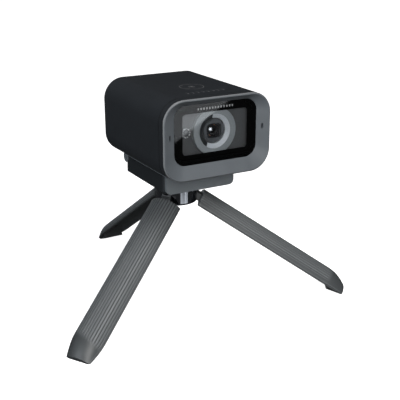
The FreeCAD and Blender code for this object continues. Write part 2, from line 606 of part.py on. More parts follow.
def clip_foot():
    """Lower jaw, screwed to the tripod: a block with the middle hinge knuckle behind."""
    front = "lip_front + lip_thick + jaw_gap"
    high = "-plate_thick - foot_gap"
    deep = "foot_back - (%s)" % front
    tall = "clip_tall - plate_thick - foot_gap"
    block = slab("XY_Plane", "-clip_tall", tall, ("clip_wide", deep, "foot_round",
                 "(%s) + (%s) / 2" % (front, deep)))
    soften(block, "Fillet", (0, 0, -1), "foot_round / 2")
    barrel = rod("-knuckle_wide / 2", "pin_y", "-pin_drop", "knuckle_out", "knuckle_wide", "x")
    clear = "knuckle_out + ear_gap"
    ears, corners = [], []
    ear_wide = "(clip_wide - knuckle_wide) / 2 + ear_gap"
    for start in ("-clip_wide / 2 - ear_gap", "knuckle_wide / 2"):
        middle = "%s + (%s) / 2" % (start, ear_wide)
        ears.append(rod(start, "pin_y", "-pin_drop", clear, ear_wide, "x"))
        corners.append(box(middle, "pin_y - (%s)" % clear, "-pin_drop", ear_wide, "clip_tall",
                           "clip_tall"))
    bore = rod("-clip_wide", "pin_y", "-pin_drop", "clip_pin_out + run_gap", "2 * clip_wide", "x")
    grip = ("grip_wide", "grip_long", "grip_round", "front_reach")
    recess = slab("XY_Plane", high + " - grip_thick", "2 * grip_thick", grip)
    socket = rod("side_reach", "front_reach", "-2 * clip_tall", "insert_out", "clip_tall + insert_long")
    in_camera("clip_foot", cut(fuse(block, barrel), bore, recess, socket, *ears, *corners))
    in_camera("grip_pad", slab("XY_Plane", high + " - grip_thick", "grip_thick", grip))
    collar = rod("side_reach", "front_reach", "-clip_tall", "insert_out", "insert_long")
    thread = rod("side_reach", "front_reach", "-2 * clip_tall", "thread_out", "2 * clip_tall")
    in_camera("thread_insert", cut(collar, thread))


# ---------------------------------------------------------------- tripod hub

def at_leg(side, thing):
    """Turn a tool drawn about a pivot at yaw 0 to one leg's side of the hub."""
    yaw = side + "_yaw"
    return put(thing, "pivot_out * cos(1deg * %s)" % yaw, "pivot_out * sin(1deg * %s)" % yaw,
               "pivot_high", yaw)


def slot_tool(side):
    """Room for a leg's lug: round its pin, out along the open leg and down to the folded one."""
    wide = "lug_wide + 2 * ear_gap"
    clear = "lug_out + slot_gap"
    eye = put(bind(document.addObject("Part::Cylinder", "Rod"), Radius=clear, Height=wide),
              "0", "(%s) / 2" % wide, "0", roll="90")
    out = bind(document.addObject("Part::Box", "Block"), Length="slot_reach", Width=wide,
               Height="lug_roof - leg_drop + slot_gap + " + clear)
    put(out, "-(%s) * sin(1deg * leg_slope)" % clear, "-(%s) / 2" % wide,
        "-(%s) * cos(1deg * leg_slope)" % clear, pitch="leg_slope")
    down = bind(document.addObject("Part::Box", "Block"), Length="slot_reach", Width=wide,
                Height="slot_drop")
    put(down, "-(%s)" % clear, "-(%s) / 2" % wide, "-slot_drop - lug_out / 2")
    return at_leg(side, fuse(eye, out, down))


def hub():
    """Turned hub with three lug slots, and a well for the captive tripod screw."""
    shell = new_body()
    sketch = new_sketch(shell, "XY_Plane", "hub_low")
    ring = sketch.addGeometry(Part.Circle(FreeCAD.Vector(0, 0, 0), FreeCAD.Vector(0, 0, 1),
                                          number("hub_out")), False)
    sketch.addConstraint(Sketcher.Constraint("Coincident", ring, 3, -1, 1))
    size = sketch.addConstraint(Sketcher.Constraint("Radius", ring, number("hub_out")))
    sketch.setExpression("Constraints[%d]" % size, formula("hub_out"))
    pad(shell, sketch, "hub_tall")
    soften(shell, "Fillet", (0, 0, -1), "hub_round")
    roof = "hub_low + hub_tall - hub_roof"
    well = rod("0", "0", "0", "well_out", roof)
    journal = rod("0", "0", "0", "thread_out + run_gap", "hub_low + away")
    pins = [at_leg(side, group(pin_at_pivot())) for side in LEGS]
    slots = [slot_tool(side) for side in LEGS]
    in_hub("hub_shell", cut(shell, well, journal, *pins, *slots))
    in_hub("hub_cap", rod("0", "0", "hub_low", "well_out", "cap_thick"))
    top = "hub_low + hub_tall"
    pad_disc = rod("0", "0", top, "hub_out - hub_pad_inset", "hub_pad_thick")
    in_hub("hub_pad", cut(pad_disc, rod("0", "0", "hub_low", "pad_hole", "away")))
    in_hub("leg_pins", group(*[at_leg(side, group(pin_at_pivot())) for side in LEGS]))
    under = roof + " - ear_gap - screw_head_long"
    head = rod("0", "0", under, "screw_head_out", "screw_head_long")
    shank = rod("0", "0", under, "thread_out",
                "screw_head_long + ear_gap + hub_roof + hub_pad_thick + thread_long")
    drive = box("0", "-2 * screw_head_out", under, "drive_wide", "4 * screw_head_out", "drive_wide")
    in_hub("tripod_screw", cut(fuse(head, shank), drive))


def pin_at_pivot():
    pin = bind(document.addObject("Part::Cylinder", "Rod"), Radius="leg_pin_out",
               Height="2 * leg_pin_half")
    return put(pin, "0", "leg_pin_half", "0", roll="90")


# ---------------------------------------------------------------- legs

def nose(inset):
    """Sections of the leg's rounded nose, from its full bow to the tip's."""
    floor = "-leg_drop"
    start = "leg_start + leg_long - nose_long"
    stations = []
    for step in range(5):
        part = step / 4.0
        ease = part ** 2
        half = "leg_half - %.4f * (leg_half - tip_half) - %s" % (ease, inset)
        crown = "leg_crown - %.4f * (leg_crown - tip_crown) - %s" % (ease, inset)
        stations.append(("%s + %.4f * nose_long" % (start, part), (half, crown, floor)))
    return stations


def leg(side):
    """One leg: hollow bowed shell, hinge lug and rubber shoe."""
    start, floor = "leg_start", "-leg_drop"
    body = new_body()
    sketch = new_sketch(body, "YZ_Plane", start)
    draw_bow(sketch, "leg_half", "leg_crown", floor)
    pad(body, sketch, "leg_long - nose_long")
    hollow = new_body()
    sketch = new_sketch(hollow, "YZ_Plane", start + " + end_wall")
    draw_bow(sketch, "leg_half - leg_skin", "leg_crown - leg_skin", floor)
    pad(hollow, sketch, "leg_long - nose_long - end_wall")
    outer_nose = blend("YZ_Plane", nose("0"), draw_bow)
    inner_nose = blend("YZ_Plane", nose("leg_skin"), draw_bow)
    doorway = box_along("0", "leg_start + 2 * end_wall", "lug_wide",
                        "%s + lug_floor" % floor, "%s + lug_roof" % floor)
    in_leg("leg_shell", cut(fuse(body, outer_nose), fuse(hollow, inner_nose), doorway), side)

    eye = put(bind(document.addObject("Part::Cylinder", "Rod"), Radius="lug_out", Height="lug_wide"),
              "0", "lug_wide / 2", "0", roll="90")
    neck = box_along("0", "leg_start + lug_long", "lug_wide", "%s + lug_floor" % floor,
                     "%s + lug_roof" % floor)
    bore = put(bind(document.addObject("Part::Cylinder", "Rod"), Radius="leg_pin_out + run_gap",
                    Height="3 * lug_wide"), "0", "1.5 * lug_wide", "0", roll="90")
    in_leg("leg_lug", cut(fuse(eye, neck), bore), side)

    toe = "leg_start + leg_long"
    filling = common(blend("YZ_Plane", nose("leg_skin"), draw_bow),
                     box_along(toe + " - shoe_long", toe, "3 * leg_half", floor, "leg_crown"))
    wedge = new_body()
    sketch = new_sketch(wedge, "XZ_Plane", "-tip_half + leg_skin / 2")
    draw_outline(sketch, [(toe + " - shoe_long", floor), (toe + " - shoe_long", floor + " - shoe_heel"),
                          (toe + " + shoe_past", floor + " - shoe_toe"), (toe + " + shoe_past", floor)])
    pad(wedge, sketch, "2 * tip_half - leg_skin")
    ground = bind(document.addObject("Part::Box", "Block"), Length="away", Width="away", Height="away")
    depth = "(pivot_high + away)"
    reach = "(leg_long * cos(1deg * leg_slope) - away / 2)"
    put(ground, "%s * cos(1deg * leg_slope) + %s * sin(1deg * leg_slope)" % (reach, depth),
        "-away / 2", "%s * sin(1deg * leg_slope) - %s * cos(1deg * leg_slope)" % (reach, depth),
        pitch="-leg_slope")
    in_leg("leg_shoe", cut(fuse(filling, wedge), ground), side)


def box_along(start, end, wide, low, high):
    """A box in a leg's frame, from start to end along the leg."""
    thing = bind(document.addObject("Part::Box", "Block"), Length="(%s) - (%s)" % (end, start),
                 Width=wide, Height="(%s) - (%s)" % (high, low))
    return put(thing, start, "-(%s) / 2" % wide, low)


# ---------------------------------------------------------------- build and write

front_frame()
main_casing()
rear_cover()
housing_screws()
window()
top_controls()
lens_surround()
focus_module()
image_sensor()
electronics()
clip_arm()
clip_foot()
hub()
for leg_side in LEGS:
    leg(leg_side)

document.recompute()
failed = [thing.Label for thing in document.Objects
          if "Invalid" in thing.State or "Error" in thing.State]
if failed:
    raise RuntimeError("features that did not build: %s" % failed)
for thing in parts:
    if thing.Shape.isNull() or not thing.Shape.isValid() or thing.Shape.Volume <= 0:
        raise RuntimeError("bad shape: " + thing.Label)

os.makedirs("parts", exist_ok=True)
whole = FreeCAD.BoundBox()
for thing in parts:
    thing.Shape.exportStep("parts/%s.step" % thing.Label)
    whole.add(thing.Shape.BoundBox)
print("sub-parts: %d" % len(parts))
print("box: x %.2f to %.2f, y %.2f to %.2f, z %.2f to %.2f" % (
    whole.XMin, whole.XMax, whole.YMin, whole.YMax, whole.ZMin, whole.ZMax))
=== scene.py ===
import json
import math

import bpy
from mathutils import Matrix, Vector


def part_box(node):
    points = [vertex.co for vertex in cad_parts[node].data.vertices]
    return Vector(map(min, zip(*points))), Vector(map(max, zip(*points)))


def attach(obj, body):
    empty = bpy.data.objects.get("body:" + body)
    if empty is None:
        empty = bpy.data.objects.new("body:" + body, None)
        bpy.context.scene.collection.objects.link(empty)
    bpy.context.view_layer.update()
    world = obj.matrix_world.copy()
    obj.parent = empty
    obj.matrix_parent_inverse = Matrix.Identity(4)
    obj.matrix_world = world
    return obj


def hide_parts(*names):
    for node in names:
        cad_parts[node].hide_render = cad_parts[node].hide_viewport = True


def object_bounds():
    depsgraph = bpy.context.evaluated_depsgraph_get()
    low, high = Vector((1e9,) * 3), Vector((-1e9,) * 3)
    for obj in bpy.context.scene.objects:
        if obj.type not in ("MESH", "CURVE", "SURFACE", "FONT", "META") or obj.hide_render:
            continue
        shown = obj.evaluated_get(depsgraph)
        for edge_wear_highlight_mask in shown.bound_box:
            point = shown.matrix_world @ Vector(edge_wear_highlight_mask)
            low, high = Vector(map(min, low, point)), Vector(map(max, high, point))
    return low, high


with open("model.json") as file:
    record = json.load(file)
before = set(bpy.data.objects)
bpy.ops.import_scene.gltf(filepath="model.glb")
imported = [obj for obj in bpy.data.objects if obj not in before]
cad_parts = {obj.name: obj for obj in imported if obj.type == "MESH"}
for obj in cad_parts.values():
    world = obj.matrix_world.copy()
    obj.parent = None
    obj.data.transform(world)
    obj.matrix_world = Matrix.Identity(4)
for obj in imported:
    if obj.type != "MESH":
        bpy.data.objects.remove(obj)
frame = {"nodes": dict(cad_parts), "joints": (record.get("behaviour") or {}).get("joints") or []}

# Webcam on a folding desk tripod. Metres, +Z up, the lens looks along -Y.

MM = 0.001
CAD_LOW, CAD_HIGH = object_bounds()
NODES = frame["nodes"]
JOINTS = {joint["name"]: joint for joint in frame["joints"]}

FRONT_LOW = Vector(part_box("front_frame")[0])
BACK_HIGH = Vector(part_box("rear_cover")[1])
HOUSING_MIDDLE = (FRONT_LOW + BACK_HIGH) / 2
LENS_HIGH = 25.3 * MM

# the picture's viewpoint, about a point inside the camera's housing, behind its front rim
VIEW_BEHIND_RIM = 39.42 * MM
VIEW_MIDDLE = Vector((HOUSING_MIDDLE.x, FRONT_LOW.y + VIEW_BEHIND_RIM, HOUSING_MIDDLE.z))
VIEW_AZIMUTH, VIEW_ELEVATION = -29.47, 19.15
VIEW_DISTANCE = 470.8 * MM
VIEW_RIGHT, VIEW_UP = 9.0 * MM, -45.54 * MM
VIEW_LENS = 72.08

# the housing's outline, in millimetres
CAM_WIDE, CAM_TALL, CAM_ROUND, FRAME_DEEP = 68.0, 45.5, 12.5, 5.5
CASING = (0.020, 0.023, 0.027, 1.0)
# The next colour is painted on the frame's front bevel as a painted highlight.
RIM_PAINTED_HIGHLIGHT = (0.14, 0.148, 0.156, 1.0)

# legs, in each leg's own frame: origin on the pivot, x down the leg, z out of its crown
LEG_SLOPE = math.radians(33.25)
LEG_START, LEG_DROP, LEG_LONG, LEG_SKIN = 5.97, 2.71, 109.9, 2.0
LEG_HALF, LEG_CROWN, TIP_HALF, TIP_CROWN = 10.5, 7.68, 7.95, 3.4
NOSE_LONG, END_WALL, END_EASE, WALL_IN = 14.0, 1.5, 0.25, 0.15
DOOR_WIDE, DOOR_HIGH = 6.0, 4.8


# ---------------------------------------------------------------- node helpers

class Nodes:
    """Short names for building a material's or the world's node tree."""

    def __init__(self, tree):
        self.tree = tree
        tree.nodes.clear()

    def add(self, kind, **settings):
        node = self.tree.nodes.new(kind)
        for name, value in settings.items():
            setattr(node, name, value)
        return node

    def feed(self, socket, value):
        if isinstance(value, bpy.types.NodeSocket):
            self.tree.links.new(value, socket)
        else:
            socket.default_value = value

    def math(self, operation, *values):
        node = self.add("ShaderNodeMath", operation=operation)
        for socket, value in zip(node.inputs, values):
            self.feed(socket, value)
        return node.outputs[0]

    def dot(self, first, second):
        node = self.add("ShaderNodeVectorMath", operation="DOT_PRODUCT")
        self.feed(node.inputs[0], first)
        self.feed(node.inputs[1], second)
        return node.outputs["Value"]

    def step(self, value, start, end):
        """0 before start and 1 after end, smooth between them."""
        node = self.add("ShaderNodeMapRange", interpolation_type="SMOOTHSTEP")
        for name, number in (("Value", value), ("From Min", start), ("From Max", end)):
            self.feed(node.inputs[name], number)
        return node.outputs[0]

    def mix(self, factor, first, second):
        node = self.add("ShaderNodeMix", data_type="RGBA")
        self.feed(node.inputs["Factor"], factor)
        self.feed(node.inputs["A"], first)
        self.feed(node.inputs["B"], second)
        return node.outputs["Result"]

    def noise(self, scale, detail):
        node = self.add("ShaderNodeTexNoise")
        self.feed(node.inputs["Vector"], self.place())
        node.inputs["Scale"].default_value = scale
        node.inputs["Detail"].default_value = detail
        return node.outputs["Fac"]

    def place(self):
        """The point on the piece, in metres in the part's own frame at rest."""
        return self.add("ShaderNodeTexCoord").outputs["Object"]

    def apart(self):
        """The same point's x, y and z."""
        node = self.add("ShaderNodeSeparateXYZ")
        self.feed(node.inputs[0], self.place())
        return node.outputs

    def away(self, value, middle):
        """How far a value is from a middle, either way."""
        return self.math("ABSOLUTE", self.math("SUBTRACT", value, middle))

    def both(self, first, second):
        """1 where two masks are both 1."""
        return self.math("MULTIPLY", first, second)

    def length(self, first, second):
        """Length of the hypotenuse of two sides."""
        return self.math("SQRT", self.math("ADD", self.math("MULTIPLY", first, first),
                                           self.math("MULTIPLY", second, second)))


MOTTLE_SCALE = 90.0
ROUGH_SPREAD = 0.06


def rgb(red, green, blue):
    return (red, green, blue, 1.0)


def scaled(colour, by):
    return (colour[0] * by, colour[1] * by, colour[2] * by, 1.0)


def moulded(name, colour, rough, grain=0.35, grain_depth=0.02, gloss=0.5, metal=0.0, edge=0.3,
            edge_wear_and_highlight=1.6, paint=None, coat=0.0):
    """Moulded or painted surface: fine grain, faint mottling, and edges painted lighter, partly as
    wear and partly as a painted highlight.

    grain, grain_depth and edge are in millimetres; the edge factor says how much lighter an edge is
    painted, partly wear and partly a painted highlight.
    """
    material = bpy.data.materials.new(name)
    material.use_nodes = True
    n = Nodes(material.node_tree)
    out = n.add("ShaderNodeOutputMaterial")
    surface = n.add("ShaderNodeBsdfPrincipled")
    n.feed(out.inputs["Surface"], surface.outputs[0])
    surface.inputs["Metallic"].default_value = metal
    surface.inputs["Specular IOR Level"].default_value = gloss
    surface.inputs["Coat Weight"].default_value = coat
    surface.inputs["Coat Roughness"].default_value = 0.08

    normal = n.add("ShaderNodeNewGeometry").outputs["Normal"]
    mottle = n.noise(MOTTLE_SCALE, 3.0)
    tone = n.mix(mottle, scaled(colour, 0.88), scaled(colour, 1.12))
    # Edges are painted lighter: partly wear, partly a painted highlight along rims and corners.
    if edge:
        rounded = n.add("ShaderNodeBevel", samples=4)
        rounded.inputs["Radius"].default_value = edge * MM
        edge_wear_highlight_mask = n.step(n.dot(rounded.outputs[0], normal), 0.995, 0.90)
        tone = n.mix(edge_wear_highlight_mask, tone, scaled(colour, edge_wear_and_highlight))
        normal = rounded.outputs[0]
    if paint:
        tone = paint(n, tone)
    n.feed(surface.inputs["Base Color"], tone)

    fine = n.noise(1 / (grain * MM), 1.0)
    uneven = n.math("MULTIPLY", mottle, 2 * ROUGH_SPREAD)
    n.feed(surface.inputs["Roughness"], n.math("ADD", rough - ROUGH_SPREAD, uneven))
    bump = n.add("ShaderNodeBump")
    bump.inputs["Strength"].default_value = 0.6
    bump.inputs["Distance"].default_value = grain_depth * MM
    n.feed(bump.inputs["Height"], fine)
    n.feed(bump.inputs["Normal"], normal)
    n.feed(surface.inputs["Normal"], bump.outputs[0])
    return material


# ---------------------------------------------------------------- printed marks, painted highlights, painted reflection and painted shade

TOUCH_BACK, TOUCH_RADIUS, TOUCH_SMALL, TOUCH_DOT = 31.0 * MM, 7.0 * MM, 1.6 * MM, 0.9 * MM
LIGHTS_BACK, LIGHTS_PITCH, LIGHTS_REACH, LIGHTS_SHIFT = 16.4 * MM, 1.6 * MM, 12.2 * MM, 0.2 * MM


def casing_marks(n, tone):
    """Prints on the housing's top: a touch circle with a small mark, and ticks by the lights."""
    x, y, z = n.apart()
    across = n.math("SUBTRACT", x, HOUSING_MIDDLE.x)
    reach = n.length(across, n.math("SUBTRACT", y, FRONT_LOW.y + TOUCH_BACK))
    ring = n.step(n.away(reach, TOUCH_RADIUS), 0.22 * MM, 0.10 * MM)
    small = n.step(n.away(reach, TOUCH_SMALL), 0.22 * MM, 0.12 * MM)
    dot = n.step(reach, TOUCH_DOT, TOUCH_DOT - 0.3 * MM)

    lights_y = FRONT_LOW.y + LIGHTS_BACK
    slant = n.math("ADD", across, n.math("MULTIPLY", n.math("SUBTRACT", y, lights_y), 0.6))
    pitch = n.math("PINGPONG", n.math("ADD", slant, 11.0 * MM), LIGHTS_PITCH)
    tick = n.both(n.step(pitch, 0.26 * MM, 0.14 * MM),
                  n.step(n.away(y, lights_y), 0.8 * MM, 0.6 * MM))
    tick = n.both(tick, n.step(n.away(across, LIGHTS_SHIFT), LIGHTS_REACH, LIGHTS_REACH - 0.3 * MM))

    marks = n.math("MAXIMUM", n.math("MAXIMUM", ring, small), n.math("MAXIMUM", dot, tick))
    on_top = n.step(z, CAD_HIGH.z - 0.3 * MM, CAD_HIGH.z - 0.1 * MM)
    print_strength = n.math("MULTIPLY", n.both(marks, on_top), 0.7)
    return n.mix(print_strength, seam_paint(n, tone), rgb(0.30, 0.30, 0.30))


def rim_paint(n, tone):
    """Front bevel of the frame painted bright as a painted highlight, and dark sides behind it."""
    x, y, z = n.apart()
    flat_wide, flat_tall = (CAM_WIDE / 2 - CAM_ROUND) * MM, (CAM_TALL / 2 - CAM_ROUND) * MM
    across = n.math("SUBTRACT", n.away(x, HOUSING_MIDDLE.x), flat_wide)
    height = n.math("SUBTRACT", n.away(z, HOUSING_MIDDLE.z), flat_tall)
    reach = n.length(n.math("MAXIMUM", across, 0.0), n.math("MAXIMUM", height, 0.0))
    bevel_end, side_start = FRONT_LOW.y + 0.78 * MM, FRONT_LOW.y + 0.86 * MM
    bevel_highlight = n.both(n.step(reach, (CAM_ROUND - 0.62) * MM, (CAM_ROUND - 0.48) * MM),
                   n.step(y, side_start, bevel_end))
    side = n.both(n.step(reach, (CAM_ROUND - 0.30) * MM, (CAM_ROUND - 0.15) * MM),
                  n.step(y, bevel_end, side_start))
    tone = n.mix(bevel_highlight, tone, RIM_PAINTED_HIGHLIGHT)
    return n.mix(side, tone, seam_paint(n, CASING))


def seam_paint(n, tone):
    """Thin dark line where the frame meets the housing."""
    gap = n.away(n.apart()[1], FRONT_LOW.y + FRAME_DEEP * MM)
    return n.mix(n.step(gap, 0.32 * MM, 0.18 * MM), tone, rgb(0.002, 0.002, 0.002))


def border_marks(n, tone):
    """A row of small plain ticks over the lens, printed on the border."""
    row_high, row_reach, tick_pitch = 38.8 * MM, 11.2 * MM, 0.9 * MM
    x, _, z = n.apart()
    across = n.math("SUBTRACT", x, HOUSING_MIDDLE.x)
    pitch = n.math("PINGPONG", across, tick_pitch)
    row = n.away(z, FRONT_LOW.z + row_high)
    tick = n.both(n.step(pitch, 0.50 * MM, 0.36 * MM), n.step(row, 0.62 * MM, 0.52 * MM))
    end = n.step(n.math("ABSOLUTE", across), row_reach, row_reach - 0.2 * MM)
    return n.mix(n.both(tick, end), tone, rgb(0.42, 0.42, 0.42))


def funnel_painted_reflection_and_shade(n, tone):
    """The ring is painted bright from just before twelve o'clock round to seven, a painted reflection,
    and dark beyond, a painted shade.
    """
    x, _, z = n.apart()
    turn = n.math("ARCTAN2", n.math("SUBTRACT", x, HOUSING_MIDDLE.x),
                  n.math("SUBTRACT", z, FRONT_LOW.z + LENS_HIGH))
    start, end, soft = math.radians(-147.0), math.radians(-8.0), math.radians(1.5)
    painted_shade = n.both(n.step(turn, start - soft, start + soft), n.step(turn, end + soft, end - soft))
    return n.mix(painted_shade, tone, rgb(0.020, 0.022, 0.024))


def mottled(n, tone):
    """Broken bright flecks of a moulded light guide."""
    return n.mix(n.step(n.noise(1300.0, 1.0), 0.46, 0.56), tone, rgb(0.55, 0.56, 0.57))


def rib_painted_shade_and_highlight(n, tone):
    """Painted shade darkens the grooves, and a painted highlight makes the ridges between them lighter
    than the plain flank.
    """
    painted_groove_shade = n.add("ShaderNodeAttribute", attribute_name="groove").outputs["Fac"]
    painted_ridge_highlight = n.add("ShaderNodeAttribute", attribute_name="ridge_highlight").outputs["Fac"]
    tone = n.mix(painted_ridge_highlight, tone, rgb(0.116, 0.125, 0.131))
    return n.mix(n.step(painted_groove_shade, 0.05, 0.75), tone, rgb(0.050, 0.054, 0.056))


# ---------------------------------------------------------------- materials

def glass_material(name):
    """Thin clear glass: mostly see-through, with a faint mirror of the studio."""
    material = bpy.data.materials.new(name)
    material.use_nodes = True
    n = Nodes(material.node_tree)
    out = n.add("ShaderNodeOutputMaterial")
    clear = n.add("ShaderNodeBsdfTransparent")
    clear.inputs["Color"].default_value = rgb(0.96, 0.97, 0.98)
    shine = n.add("ShaderNodeBsdfGlossy")
    smear = n.noise(260.0, 3.0)
    n.feed(shine.inputs["Roughness"], n.math("MULTIPLY", smear, 0.02))
    angle = n.add("ShaderNodeFresnel")
    angle.inputs["IOR"].default_value = 1.5
    mixed = n.add("ShaderNodeMixShader")
    n.feed(mixed.inputs["Fac"], angle.outputs[0])
    n.feed(mixed.inputs[1], clear.outputs[0])
    n.feed(mixed.inputs[2], shine.outputs[0])
    n.feed(out.inputs["Surface"], mixed.outputs[0])
    return material


def glowing(name, colour, strength, paint=None):
    """Milky light guide, faintly lit."""
    material = moulded(name, colour, 0.3, grain=0.3, grain_depth=0.005, paint=paint)
    surface = material.node_tree.nodes["Principled BSDF"]
    surface.inputs["Emission Color"].default_value = rgb(0.8, 0.85, 0.9)
    surface.inputs["Emission Strength"].default_value = strength
    return material


def make_materials():
    slate = rgb(0.090, 0.101, 0.112)
    return {
        "casing": moulded("casing_plastic", CASING, 0.52, gloss=0.30, edge_wear_and_highlight=1.3,
                          paint=casing_marks),
        "frame": moulded("frame_paint", slate, 0.42, gloss=0.45, grain=0.25, grain_depth=0.008,
                         edge_wear_and_highlight=1.15, edge=0.1, paint=rim_paint),
        "clip": moulded("clip_plastic", rgb(0.150, 0.167, 0.180), 0.46, gloss=0.4, edge_wear_and_highlight=1.3),
        "foot": moulded("foot_plastic", rgb(0.017, 0.020, 0.023), 0.48, gloss=0.35, edge_wear_and_highlight=1.4),
        "steel": moulded("turned_steel", rgb(0.55, 0.56, 0.57), 0.28, metal=1.0, edge_wear_and_highlight=1.1),
        "brass": moulded("turned_brass", rgb(0.70, 0.50, 0.22), 0.3, metal=1.0, edge_wear_and_highlight=1.1),
        "glass": glass_material("window_glass"),
        "border": moulded("black_print", rgb(0.0006, 0.0006, 0.0006), 0.5, gloss=0.02,
                          paint=border_marks),
        "black": moulded("black_trim", rgb(0.008, 0.008, 0.009), 0.45, gloss=0.3),
        "baffle": moulded("baffle_grey", rgb(0.082, 0.084, 0.086), 0.5, gloss=0.3),
        "disc": moulded("disc_satin", rgb(0.26, 0.28, 0.29), 0.4, gloss=0.4, grain=0.2),
        # The funnel ring's light grey arc is a painted reflection, and its dark part is painted shade.
        "funnel": moulded("funnel_painted_reflection", rgb(0.56, 0.59, 0.62), 0.45, gloss=0.5, edge_wear_and_highlight=1.05,
                          grain=0.2, grain_depth=0.004, paint=funnel_painted_reflection_and_shade),
        "bezel": moulded("bezel_satin", rgb(0.065, 0.070, 0.075), 0.35, gloss=0.5),
        "light": glowing("light_guide", rgb(0.16, 0.16, 0.17), 0.02),
        "status": glowing("status_ring", rgb(0.06, 0.06, 0.06), 0.01, mottled),
        "board": moulded("solder_mask", rgb(0.010, 0.055, 0.030), 0.3, coat=0.3),
        "copper": moulded("copper_foil", rgb(0.60, 0.32, 0.18), 0.3, metal=1.0),
        "rubber": moulded("soft_rubber", rgb(0.020, 0.020, 0.022), 0.75, grain=0.5,
                          grain_depth=0.04, gloss=0.25),
        "shoe": moulded("shoe_rubber", rgb(0.024, 0.026, 0.027), 0.65, grain=0.5,
                        grain_depth=0.05, gloss=0.3),
        "hub": moulded("hub_black_chrome", rgb(0.30, 0.31, 0.33), 0.10, metal=1.0, edge_wear_and_highlight=1.2,
                       grain=0.6, grain_depth=0.001, edge=0.25),
        "lug": moulded("lug_satin", rgb(0.07, 0.075, 0.078), 0.4, gloss=0.5),
        "leg": moulded("leg_satin", rgb(0.058, 0.063, 0.066), 0.42, gloss=0.45, grain=0.3,
                       grain_depth=0.006, edge=0.0, paint=rib_painted_shade_and_highlight),
    }


NODE_FINISH = {
    "casing": ("main_casing", "rear_cover"),
    "frame": ("front_frame",),
    "clip": ("clip_arm",),
    "foot": ("clip_foot",),
    "steel": ("rear_screws", "board_screws", "arm_screws", "clip_pin", "leg_pins", "tripod_screw",
              "usb_socket", "focus_magnets", "heat_sink"),
    "brass": ("thread_insert",),
    "glass": ("cover_glass", "front_lens", "rear_lens", "infrared_filter"),
    "border": ("window_border",),
    "black": ("top_sensor_window", "lens_barrel", "sensor_holder", "usb_tongue", "image_sensor",
              "board_chips", "focus_case", "microphones"),
    "baffle": ("lens_baffle",),
    "disc": ("lens_disc",),
    "funnel": ("funnel_ring",),
    "bezel": ("inner_bezel",),
    "light": ("indicator_lights",),
    "status": ("status_light",),
    "board": ("indicator_board", "sensor_board", "main_board"),
    "copper": ("touch_sensor", "focus_coil", "sensor_ribbon"),
    "rubber": ("lip_pad", "grip_pad", "hub_pad"),
    "hub": ("hub_shell", "hub_cap"),
    "lug": ("leg_lug_left", "leg_lug_right", "leg_lug_back"),
    "shoe": ("leg_shoe_left", "leg_shoe_right", "leg_shoe_back"),
}


def dress_nodes(materials):
    """Gives each CAD piece its finish."""
    for finish, names in NODE_FINISH.items():
        for name in names:
            for place in NODES[name].material_slots:
                place.material = materials[finish]


# ---------------------------------------------------------------- ribbed legs

def bow(half, crown):
    """Radius of a bow section's arc and the half angle that it spans."""
    radius = (half * half + crown * crown) / (2 * crown)
    return radius, math.asin(half / radius)


def smooth(value, start, end):
    part = min(max((value - start) / (end - start), 0.0), 1.0)
    return part * part * (3 - 2 * part)


def groove(distance, width, depth):
    """Depth of one round-bottomed groove at a distance from its middle."""
    inside = 1 - min(abs(distance) / (width / 2), 1.0)
    return depth * smooth(inside, 0.0, 1.0)


# across the crown, as arc lengths from its -y edge
ARC_STEPS = 300
FULL_ARC = 2 * bow(LEG_HALF, LEG_CROWN)[0] * bow(LEG_HALF, LEG_CROWN)[1]
RIB_COUNT, RIB_PITCH, RIB_WIDE, RIB_DEEP = 13, 1.75, 0.95, 0.28
RIB_MIDDLE, RIB_REACH, RIB_SOFT = FULL_ARC / 2 + 0.9, 11.3, 0.3
RIB_PLACES = [FULL_ARC / 2 + RIB_PITCH * (step - 5.5) for step in range(RIB_COUNT)]
EDGE_IN, EDGE_WIDE, EDGE_DEEP = 0.75, 0.6, 0.22
# The LINE_ values place the lighter line painted along each edge of the crown, a painted highlight.
LINE_IN, LINE_WIDE, LINE_STRONG = 1.4, 0.9, 0.7


def rib_fade(along, part):
    """1 on the ribbed length of the leg and 0 on its tip, which starts along a slant."""
    return 1 - smooth(along, LEG_LONG - 16.5 + 5.5 * part, LEG_LONG - 13.0 + 6.5 * part)


def rib_depth(along, part):
    """How far the crown's surface sinks at a station and a part of the way across."""
    arc = part * FULL_ARC
    ribs = sum(groove(arc - middle, RIB_WIDE, RIB_DEEP) for middle in RIB_PLACES)
    edge = sum(groove(arc - middle, EDGE_WIDE, EDGE_DEEP) for middle in (EDGE_IN, FULL_ARC - EDGE_IN))
    return ribs * rib_fade(along, part) + edge * (1 - smooth(along, LEG_LONG - 8, LEG_LONG - 3))


def ridge_highlight(along, part):
    """Mask of the painted highlight: 1 on the ribbed part of the crown, less on a line along each
    edge, and 0 elsewhere.
    """
    arc = part * FULL_ARC
    band = 1 - smooth(abs(arc - RIB_MIDDLE), RIB_REACH - RIB_SOFT, RIB_REACH + RIB_SOFT)
    from_edge = FULL_ARC / 2 - abs(arc - FULL_ARC / 2)
    return max(band * rib_fade(along, part), groove(from_edge - LINE_IN, LINE_WIDE, LINE_STRONG))


def section(along):
    """Half width and crown of the leg at a station."""
    ease = max(0.0, (along - (LEG_LONG - NOSE_LONG)) / NOSE_LONG) ** 2
    return (LEG_HALF - ease * (LEG_HALF - TIP_HALF), LEG_CROWN - ease * (LEG_CROWN - TIP_CROWN))


def bow_points(half, crown, count, along, sink=None):
    """Points of a bow's arc from the -y edge to the +y edge, at a station down the leg."""
    radius, lean = bow(half, crown)
    points = []
    for step in range(count + 1):
        part = step / count
        angle = lean * (2 * part - 1)
        reach = radius - (sink(along, part) if sink else 0.0)
        points.append((LEG_START + along, reach * math.sin(angle),
                       crown - radius + reach * math.cos(angle) - LEG_DROP))
    return points


